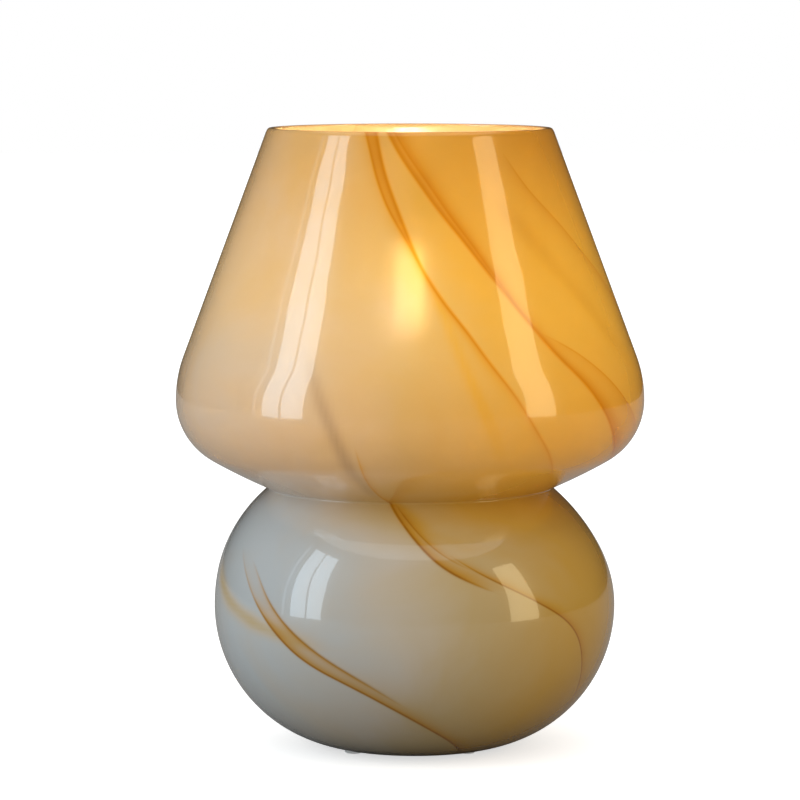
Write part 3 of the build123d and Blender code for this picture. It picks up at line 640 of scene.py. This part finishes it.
def new_finish(name):
    """An empty material with its output and a Principled shader, linked."""
    material = bpy.data.materials.new(name)
    material.use_nodes = True
    tree = material.node_tree
    tree.nodes.clear()
    shader = put(tree, "BsdfPrincipled")
    put(tree, "OutputMaterial", {"Surface": shader})
    return material, tree, shader


def bell(tree, value):
    """exp(-value^2): one where the value is nought, fading smoothly on both sides."""
    square = put(tree, "Math", (value, value), operation="MULTIPLY")
    square = put(tree, "Math", (square, -1.0), operation="MULTIPLY")
    return put(tree, "Math", (square,), operation="EXPONENT")


# %% [markdown]
# ## Opal glass with amber
# Opal glass is white because tiny crystals in it scatter the light, so it has a soft body colour under
# a hard, clear gloss. Here the body colour goes from cool opal through pale amber to dark amber with
# the amount of amber glass, the gloss is a coat of its own, and a small share of light goes through,
# blurred, so the filaments show as a bright blurred spot from any side. The warm light inside also
# makes the wall itself glow: that is given as light leaving the surface, strongest level with the
# filaments and fading to the waist, because following it through a scattering wall would be very slow.

# %% Streaks: dark adds up the fine lines, fill adds up the feathers
opal, tree, shader = new_finish("blown opal glass with drawn amber streaks, fire polished")
seat = put(tree, "TexCoord").outputs["Object"]
wander = put(tree, "TexNoise", {"Vector": seat, "Scale": 1000 / 33.3, "Detail": 1.0, "Roughness": 0.4})
wander = put(tree, "Math", (wander, 0.7, -0.35), operation="MULTIPLY_ADD")   # up to 0.35 mm to each side
dark = fill = 0.0
for name, streak in streaks.items():
    stored = put(tree, "Attribute", attribute_name="streak_" + name).outputs["Vector"]
    distance, feather, strength = put(tree, "SeparateXYZ", (stored,)).outputs
    away = put(tree, "Math", (distance, wander), operation="ADD")
    thin = bell(tree, put(tree, "Math", (away, streak["fine"]), operation="DIVIDE"))
    dark = put(tree, "Math", (thin, strength, dark), operation="MULTIPLY_ADD")
    side = put(tree, "Math", (away, feather), operation="DIVIDE")            # positive on the feathered side
    soft = put(tree, "Math", (side, 0.0), operation="MAXIMUM")
    soft = put(tree, "Math", (soft, -1.0), operation="MULTIPLY")
    soft = put(tree, "Math", (soft,), operation="EXPONENT")
    soft = put(tree, "Math", (soft, put(tree, "MapRange", (side, -0.12, 0.05, 0.0, 1.0))), operation="MULTIPLY")
    fill = put(tree, "Math", (soft, strength, fill), operation="MULTIPLY_ADD")
both = put(tree, "Math", (fill, dark), operation="ADD")
print("nodes for the streaks:", len(tree.nodes))

# %% Body colour: how much amber, with the wash's painted light, then the streaks' own colours on top
amber_and_painted_light_here, smoke_here, down_here, inner_here = (
    put(tree, "Attribute", attribute_name=name).outputs["Fac"]
    for name in ("amber_with_painted_light", "grey_smoke", "down", "inside_wall"))
clouds = put(tree, "TexNoise", {"Vector": seat, "Scale": 1000 / 45.5, "Detail": 3.0, "Roughness": 0.55,
                                "Distortion": 0.6})
clouds = put(tree, "Math", (clouds, 0.24, -0.12), operation="MULTIPLY_ADD")
# the wash brings its painted light into the amber here: side light and the bulb's highlight
amber = put(tree, "Math", (amber_and_painted_light_here, clouds), operation="ADD")
amber = put(tree, "Math", (fill, 0.4, amber), operation="MULTIPLY_ADD")
amber = put(tree, "Math", (dark, 0.30, amber), operation="MULTIPLY_ADD", use_clamp=True)
body = put(tree, "ValToRGB", (amber,), stops=[
    (0.0, "#BEC0BD"), (1.0, "#946012"), (0.15, "#C8B9A3"), (0.32, "#C4A976"), (0.58, "#C39840"), (0.8, "#B7872C")])
# painted light: a fine line is painted clear orange on the shade, where the bulb's light stands behind it, and brown
# on the unlit base
unlit = put(tree, "MapRange", (down_here, 140.0, 176.0, 0.0, 1.0))
painted_lit_line_colour = put(tree, "Mix", {0: unlit, 6: linear("#B67400"), 7: linear("#945A06")}, data_type="RGBA").outputs[2]
# the inner wall is paler, because the amber was laid on the outside of the gather
for amount, share, colour in ((fill, 0.75, linear("#BC7C12")), (dark, 0.85, painted_lit_line_colour),
                              (smoke_here, 0.6, linear("#8A7660")), (inner_here, 0.55, linear("#D8CCB2"))):
    share = put(tree, "Math", (amount, share), operation="MULTIPLY", use_clamp=True)
    body = put(tree, "Mix", {0: share, 6: body, 7: colour}, data_type="RGBA").outputs[2]
tree.links.new(body, shader.inputs["Base Color"])

# %% Glow: the light that the wall passes on from the filaments
FILAMENT_LEVEL, GLOW_SPREAD = 0.176, 0.050     # metres above the table, and metres up and down
height = put(tree, "SeparateXYZ", (seat,)).outputs["Z"]
lift = put(tree, "Math", (height, FILAMENT_LEVEL), operation="SUBTRACT")
level = bell(tree, put(tree, "Math", (lift, GLOW_SPREAD), operation="DIVIDE"))
near_bulb = put(tree, "Math", (amber, 0.08, 0.10), operation="MULTIPLY_ADD")
all_over = put(tree, "Math", (amber, 0.085, 0.115), operation="MULTIPLY_ADD")
glow = put(tree, "Math", (level, near_bulb, all_over), operation="MULTIPLY_ADD")
above_waist = put(tree, "MapRange", (down_here, 136.0, 178.0, 1.0, 0.0))
glow = put(tree, "Math", (glow, above_waist), operation="MULTIPLY")
# dark glass and smoke let less light through
soft_shade = put(tree, "Math", (fill, smoke_here), operation="ADD")
soft_shade = put(tree, "Math", (soft_shade, 0.28), operation="MULTIPLY")
held_back = put(tree, "Math", (dark, 0.15, soft_shade), operation="MULTIPLY_ADD")
let_through = put(tree, "Math", (1.0, held_back), operation="SUBTRACT", use_clamp=True)
glow = put(tree, "Math", (glow, let_through), operation="MULTIPLY")
warm = put(tree, "ValToRGB", (level,), stops=[(0.0, "#FFAE34"), (1.0, "#FFC23C")])
in_amber = put(tree, "Math", (both, 0.8), operation="MULTIPLY", use_clamp=True)
warm = put(tree, "Mix", {0: in_amber, 6: warm, 7: linear("#FF9E06")}, data_type="RGBA").outputs[2]
tree.links.new(warm, shader.inputs["Emission Color"])
tree.links.new(glow.outputs[0], shader.inputs["Emission Strength"])

# %% Surface: a blurred share goes through, under a clear fire-polished gloss
crystals = put(tree, "TexNoise", {"Vector": seat, "Scale": 1000 / 8.33, "Detail": 1.0})
blur = put(tree, "MapRange", (crystals, 0.3, 0.7, 0.2, 0.25))
through = put(tree, "MapRange", (down_here, 118.0, 166.0, 0.33, 0.06))
through = put(tree, "Math", (inner_here, 0.2, through), operation="MULTIPLY_ADD")
wave = put(tree, "TexNoise", {"Vector": seat, "Scale": 1000 / 29.4, "Detail": 1.0})   # left by the mould
ripple = put(tree, "Bump", {"Strength": 0.35, "Distance": 0.0012, "Height": wave})
tree.links.new(blur.outputs[0], shader.inputs["Roughness"])
tree.links.new(through.outputs[0], shader.inputs["Transmission Weight"])
tree.links.new(ripple.outputs[0], shader.inputs["Coat Normal"])
shader.inputs["IOR"].default_value = 1.5
shader.inputs["Specular IOR Level"].default_value = 0.25
shader.inputs["Coat Weight"].default_value = 1.0
shader.inputs["Coat Roughness"].default_value = 0.03
shader.inputs["Coat IOR"].default_value = 1.5
glass.data.materials.append(opal)
print("nodes in the opal glass:", len(tree.nodes))

# %% [markdown]
# ## The parts inside
# Each small part gets the finish of its real process: moulded, pressed, plated, powder coated. All are
# two close tones mixed by a pattern of the process's own size, with a roughness and a fine relief that
# follow the same pattern. That keeps a part from looking like one flat paint without hiding its shape.
# Real mould grain and rolling marks are mostly finer than 0.2 mm, which a picture of the whole lamp
# can't show, so they are drawn at the sizes in millimetres that stand in each line.


# %% A finish of two tones, and who wears it
def made(name, tone_a, tone_b, grain, rough, relief=0.0, stretch=(1, 1, 1), detail=4.0, **sockets):
    """A finish of two tones mixed by noise whose blobs are about grain millimetres wide. Rough is the
    least and most roughness, relief the bump's height in millimetres."""
    material, tree, shader = new_finish(name)
    seat = put(tree, "TexCoord").outputs["Object"]
    seat = put(tree, "Mapping", {"Vector": seat, "Scale": stretch})
    noise = put(tree, "TexNoise", {"Vector": seat, "Scale": 1000.0 / grain, "Detail": detail, "Roughness": 0.6})
    tones = put(tree, "ValToRGB", (noise,), stops=[(0.35, tone_a), (0.65, tone_b)])
    tree.links.new(tones.outputs[0], shader.inputs["Base Color"])
    dullness = put(tree, "MapRange", (noise, 0.3, 0.7, *rough))
    tree.links.new(dullness.outputs[0], shader.inputs["Roughness"])
    if relief:
        bump = put(tree, "Bump", {"Strength": 0.4, "Distance": relief * MM, "Height": noise})
        tree.links.new(bump.outputs[0], shader.inputs["Normal"])
    for key, value in sockets.items():
        shader.inputs[key.replace("_", " ")].default_value = value
    return material


def wear(material, *names):
    """Gives a finish to CAD nodes or pieces."""
    for name in names:
        item = nodes[name] if isinstance(name, str) else name
        item.data.materials.clear()
        item.data.materials.append(material)


# %% Rubbers and plastics
# clear silicone, moulded: soft pads, cloudy where they are thick
wear(made("moulded clear silicone bumper", "#D9DCDA", "#E6E8E6", 3.0, (0.25, 0.4), 0.02,
          Transmission_Weight=0.45, IOR=1.41), "foot_pads")
# rubber, moulded: matt black that hardly mirrors
wear(made("moulded black rubber grommet", "#17171A", "#222225", 0.6, (0.55, 0.75), 0.05), "cable_grommet")
# silicone edging, moulded: a dull even grey
wear(made("moulded grey silicone edging", "#8F8E8A", "#9C9B96", 2.0, (0.45, 0.6), 0.03), "edge_seal")
# thermoplastic, moulded: satin white with the slow clouds of its flow
wear(made("moulded white thermoplastic, satin", "#DAD7CE", "#E5E2DA", 5.0, (0.32, 0.42), 0.02),
     "holder_cap", "holder_skirt")
# epoxy, moulded: dark grey with a fine sparkle of its filler
wear(made("moulded black epoxy", "#1A1A1C", "#28282B", 0.4, (0.45, 0.6), 0.02), "driver_parts")

# %% Coats, ceramics and boards
# powder coat: white with the orange peel of melted powder
wear(made("white powder coat on pressed steel", "#D9D6CC", "#E4E1D8", 1.6, (0.35, 0.5), 0.06, detail=1.0),
     "carrier_disc")
# steatite, pressed and fired: a warm white that looks dry
wear(made("pressed and fired steatite", "#D8D0BE", "#E6DFCF", 0.8, (0.5, 0.65), 0.05), "holder_core")
# black glass, poured: deep and wet under its own skin
wear(made("poured black glass insulator", "#0B0B10", "#17151C", 2.5, (0.06, 0.14), 0.02, Coat_Weight=1.0),
     "bulb_insulator")
# glass fibre board, lacquered: green with a hint of the weave
wear(made("green lacquered glass fibre board", "#1E5A38", "#2A6E47", 0.5, (0.3, 0.45), 0.01, Coat_Weight=0.4),
     "driver_board")

# %% Metals
# zinc plate on steel: bluish and bright, mottled by the bath
wear(made("bright zinc plate on steel", "#A9ADB0", "#C3C6C8", 2.2, (0.28, 0.42), 0.02, Metallic=1.0),
     "lock_washer", "lock_nut", "locking_screw", "terminal_screws", tube)
# brass, rolled: warm metal with faint upright marks of the roller
wear(made("rolled brass sheet", "#B08D45", "#C8A65A", 1.5, (0.22, 0.36), 0.01, (1, 1, 0.25), Metallic=1.0),
     "centre_contact", "side_contact", "terminal_blocks", shell)
# tin solder, melted: grey metal, smoother where it set last
wear(made("melted tin solder button", "#A8A8A6", "#C9C9C6", 1.2, (0.2, 0.4), 0.03, Metallic=1.0), "bulb_contact")
# nickel plate on rolled sheet: a warm grey that mirrors more than zinc does
wear(made("nickel plate on rolled cap sheet", "#B9B4AA", "#CFCBC2", 1.8, (0.2, 0.32), 0.01, (1, 1, 0.3), Metallic=1.0),
     "bulb_wires", bulb_cap)

# %% The bulb's glass and its filaments
# clear bulb glass, blown: thin, with a faint waviness; the lit filaments shine through, so it casts no shadow
wear(made("clear blown bulb glass", "#F4F6F4", "#FAFBFA", 12.0, (0.0, 0.02), 0.02,
          Transmission_Weight=1.0, IOR=1.47), "bulb_envelope", "bulb_stem")
nodes["bulb_envelope"].visible_shadow = False
# phosphor in silicone, lit: yellow rods by day, blinding warm white with paler dots when lit
filament = made("phosphor coated filament, lit", "#F2B24A", "#FFC966", 0.5, (0.5, 0.6))
tree = filament.node_tree
shader = tree.nodes["Principled BSDF"]
dots = put(tree, "TexNoise", {"Vector": put(tree, "TexCoord").outputs["Object"], "Scale": 1000 / 1.11})
dots = put(tree, "ValToRGB", (dots,), stops=[(0.3, "#FFE6BA"), (0.7, "#FFF0D4")])
tree.links.new(dots.outputs[0], shader.inputs["Emission Color"])
shader.inputs["Emission Strength"].default_value = 240.0
wear(filament, "bulb_filaments")
print("finishes:", len([m for m in bpy.data.materials if m.users]))

# %% [markdown]
# ## Studio
# The photo was taken in a room with a tall window on the left and warm light from the right, on a white
# ground. A plain soft light from all around gives every colour about its written value. The window is
# two tall panes with a thin bar between them, because its reflection is what shows how glossy the
# glass is.


# %% The window and the warm light
def pane(name, azimuth_deg, height, away, width, tall, colour, radiance):
    """A rectangular lamp that faces the lamp's middle. Its power in watts is radiance times pi times its area."""
    light = bpy.data.lights.new(name, "AREA")
    light.shape = "RECTANGLE"
    light.size, light.size_y = width, tall
    light.color = colour
    light.energy = radiance * pi * width * tall
    item = bpy.data.objects.new(name, light)
    bpy.context.collection.objects.link(item)
    a = radians(azimuth_deg)
    item.location = (away * sin(a), -away * cos(a), height)
    item.rotation_euler = (radians(90), 0, a)
    item.visible_camera = False


DAYLIGHT, EVENING = (0.7, 0.86, 1.0), (1.0, 0.83, 0.49)
pane("window_left_pane", -69.0, 0.45, 1.5, 0.27, 1.9, DAYLIGHT, 4.2)
pane("window_right_pane", -57.5, 0.45, 1.5, 0.27, 1.9, DAYLIGHT, 4.6)
pane("window_far_strip", -79.5, 0.45, 1.5, 0.05, 1.9, DAYLIGHT, 1.3)
pane("warm_room_light", 64.0, 0.55, 1.6, 0.5, 1.5, EVENING, 3.5)
print("lights:", [light.name for light in bpy.data.lights])

# %% [markdown]
# ## What the glass mirrors
# The photo's ground is white only because the lamp was cut out: its gloss mirrors a dark room and a
# dull table. So a dark cloth hangs all around and a grey one lies on the table, as a photographer would
# set them, and only reflections see them. They keep the colour deep and give the glass its thin dark
# edge. The floor and the world show their white to the camera, and to what metal and glass mirror or
# let through.


# %% Two cloths that only reflections see
def hung(name, finish, colour, points, faces):
    """A cloth of one dull colour, hidden from the camera and from every ray but a mirrored one."""
    mesh = bpy.data.meshes.new(name)
    mesh.from_pydata(points, [], faces)
    piece = bpy.data.objects.new(name, mesh)
    bpy.context.collection.objects.link(piece)
    material, tree, shader = new_finish(finish)
    shader.inputs["Base Color"].default_value = linear(colour)
    shader.inputs["Roughness"].default_value = 0.9
    mesh.materials.append(material)
    piece.visible_camera = piece.visible_diffuse = piece.visible_shadow = piece.visible_transmission = False
    return piece


ROOM = 1.9     # metres from the lamp to the cloth
turn = np.radians(np.linspace(0, 360, 29))
posts = np.c_[ROOM * np.sin(turn), -ROOM * np.cos(turn)].tolist()
cloth = hung("dark_cloth", "dull black cloth", "#3A3630",
             [(x, y, z) for z in (-0.4, 2.2) for x, y in posts],
             [(k, k + 1, k + 30, k + 29) for k in range(28)])
table = hung("table_cloth", "dull grey table cloth", "#8C8B88",
             [(-ROOM, -ROOM, 0.0004), (ROOM, -ROOM, 0.0004), (ROOM, ROOM, 0.0004), (-ROOM, ROOM, 0.0004)],
             [(0, 1, 2, 3)])


# %% The floor
def background_rays(tree):
    """1 for the rays that show the white ground: the camera's own, and those mirrored or let through by
    metal and glass. The soft light on the object comes from the other rays."""
    path = put(tree, "LightPath").outputs
    seen = put(tree, "Math", (path["Is Camera Ray"], path["Is Glossy Ray"]), operation="MAXIMUM")
    return put(tree, "Math", (seen, path["Is Transmission Ray"]), operation="MAXIMUM")


mesh = bpy.data.meshes.new("studio_floor")
mesh.from_pydata([(-6, -6, 0), (6, -6, 0), (6, 6, 0), (-6, 6, 0)], [], [(0, 1, 2, 3)])
floor = bpy.data.objects.new("studio_floor", mesh)
bpy.context.collection.objects.link(floor)
paper, tree, shader = new_finish("white studio paper")
tree.nodes.clear()
lit = put(tree, "BsdfDiffuse", {"Color": linear("#E6E5E2")})
extra = put(tree, "Emission", {"Color": (1, 1, 1, 1), "Strength": 0.62})
seen = put(tree, "AddShader", (lit, extra))
dim = put(tree, "BsdfDiffuse", {"Color": linear("#8C8B88")})
mix = put(tree, "MixShader", (background_rays(tree), dim, seen))
put(tree, "OutputMaterial", {"Surface": mix})
mesh.materials.append(paper)

# %% The soft light from all around
world = bpy.data.worlds.new("soft_room")
bpy.context.scene.world = world
world.use_nodes = True
tree = world.node_tree
tree.nodes.clear()
white = put(tree, "Background", {"Color": (1, 1, 1, 1), "Strength": 1.0})
soft = put(tree, "Background", {"Color": (0.98, 0.98, 1.0, 1), "Strength": 0.85})
pick = put(tree, "MixShader", (background_rays(tree), soft, white))
put(tree, "OutputWorld", {"Surface": pick})

# %% The camera stands where the photographer stood
camera = bpy.data.cameras.new("camera")
camera.sensor_width, camera.lens = 36.0, 181.25
camera.clip_start, camera.clip_end = 0.05, 40.0
view = bpy.data.objects.new("camera", camera)
bpy.context.collection.objects.link(view)
view.location = (-0.00385, -1.541, 0.2862)
view.rotation_euler = (radians(90 - 5.668), 0, 0)
bpy.context.scene.camera = view
bpy.context.scene.view_settings.view_transform = "Standard"
print("camera", round(degrees(2 * atan2(18, camera.lens)), 1), "degrees wide")
